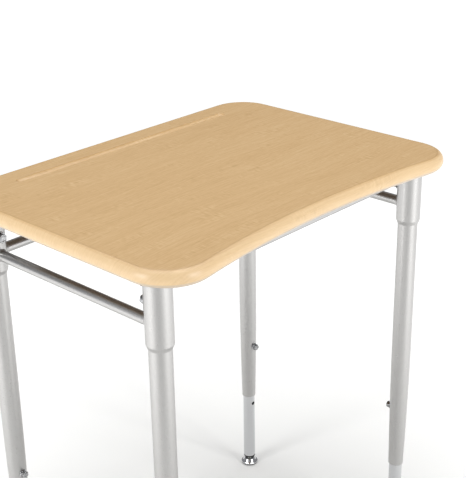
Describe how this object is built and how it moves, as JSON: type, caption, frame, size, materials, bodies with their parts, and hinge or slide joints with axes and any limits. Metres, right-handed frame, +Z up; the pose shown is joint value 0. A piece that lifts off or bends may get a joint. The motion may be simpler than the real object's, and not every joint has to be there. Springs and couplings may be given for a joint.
{
  "type": "student desk",
  "caption": "Student desk with a concave-fronted wood-grain top, a rear pencil groove, tubular silver legs with telescoping inserts, low rails and swivel glides.",
  "frame": {"origin": "on the floor, under the middle of the top's outline", "axes": "+Z up; +X to the user's right along the width; +Y from the user's concave edge to the groove edge"},
  "size_m": [0.63, 0.46, 0.737],
  "materials": {
    "maple_film": "satin maple-grain film",
    "core_board": "raw fibreboard",
    "backer_sheet": "matt backer sheet",
    "silver_paint": "satin silver powder coat",
    "insert_chrome": "bright plated tube",
    "bright_chrome": "bright plated",
    "zinc_steel": "zinc plated",
    "black_plastic": "matt moulded",
    "nylon_pad": "matt moulded"
  },
  "bodies": {
    "desk": {"top_core": "core_board", "top_film": "maple_film", "top_backer": "backer_sheet", "side_rail_left": "silver_paint", "side_rail_right": "silver_paint", "back_rail": "silver_paint", "front_rail": "silver_paint", "top_screws": "zinc_steel", "frame_welds": "silver_paint", "leg_screws": "bright_chrome", "leg_nuts": "zinc_steel", "lock_screws": "bright_chrome", "socket_front_left": "silver_paint", "mounting_plate_front_left": "silver_paint", "leg_tube_front_left": "silver_paint", "socket_front_right": "silver_paint", "mounting_plate_front_right": "silver_paint", "leg_tube_front_right": "silver_paint", "socket_back_right": "silver_paint", "mounting_plate_back_right": "silver_paint", "leg_tube_back_right": "silver_paint", "socket_back_left": "silver_paint", "mounting_plate_back_left": "silver_paint", "leg_tube_back_left": "silver_paint"},
    "insert_front_left": {"leg_insert_front_left": "insert_chrome", "insert_plug_front_left": "black_plastic", "glide_stem_front_left": "zinc_steel"},
    "glide_front_left": {"glide_cup_front_left": "bright_chrome", "glide_pad_front_left": "nylon_pad"},
    "insert_front_right": {"leg_insert_front_right": "insert_chrome", "insert_plug_front_right": "black_plastic", "glide_stem_front_right": "zinc_steel"},
    "glide_front_right": {"glide_cup_front_right": "bright_chrome", "glide_pad_front_right": "nylon_pad"},
    "insert_back_right": {"leg_insert_back_right": "insert_chrome", "insert_plug_back_right": "black_plastic", "glide_stem_back_right": "zinc_steel"},
    "glide_back_right": {"glide_cup_back_right": "bright_chrome", "glide_pad_back_right": "nylon_pad"},
    "insert_back_left": {"leg_insert_back_left": "insert_chrome", "insert_plug_back_left": "black_plastic", "glide_stem_back_left": "zinc_steel"},
    "glide_back_left": {"glide_cup_back_left": "bright_chrome", "glide_pad_back_left": "nylon_pad"}
  },
  "joints": [
    {"name": "height_front_left", "type": "slide", "parent": "desk", "child": "insert_front_left", "axis": [0, 0, -1], "range_m": [-0.127, 0]},
    {"name": "glide_tilt_front_left", "type": "hinge", "parent": "insert_front_left", "child": "glide_front_left", "pos_m": [-0.2737, -0.16855, 0.008], "axis": [1, 0, 0], "range_deg": [-6, 6]},
    {"name": "height_front_right", "type": "slide", "parent": "desk", "child": "insert_front_right", "axis": [0, 0, -1], "range_m": [-0.127, 0]},
    {"name": "glide_tilt_front_right", "type": "hinge", "parent": "insert_front_right", "child": "glide_front_right", "pos_m": [0.2737, -0.16855, 0.008], "axis": [1, 0, 0], "range_deg": [-6, 6]},
    {"name": "height_back_right", "type": "slide", "parent": "desk", "child": "insert_back_right", "axis": [0, 0, -1], "range_m": [-0.127, 0]},
    {"name": "glide_tilt_back_right", "type": "hinge", "parent": "insert_back_right", "child": "glide_back_right", "pos_m": [0.2737, 0.17755, 0.008], "axis": [1, 0, 0], "range_deg": [-6, 6]},
    {"name": "height_back_left", "type": "slide", "parent": "desk", "child": "insert_back_left", "axis": [0, 0, -1], "range_m": [-0.127, 0]},
    {"name": "glide_tilt_back_left", "type": "hinge", "parent": "insert_back_left", "child": "glide_back_left", "pos_m": [-0.2737, 0.17755, 0.008], "axis": [1, 0, 0], "range_deg": [-6, 6]}
  ]
}
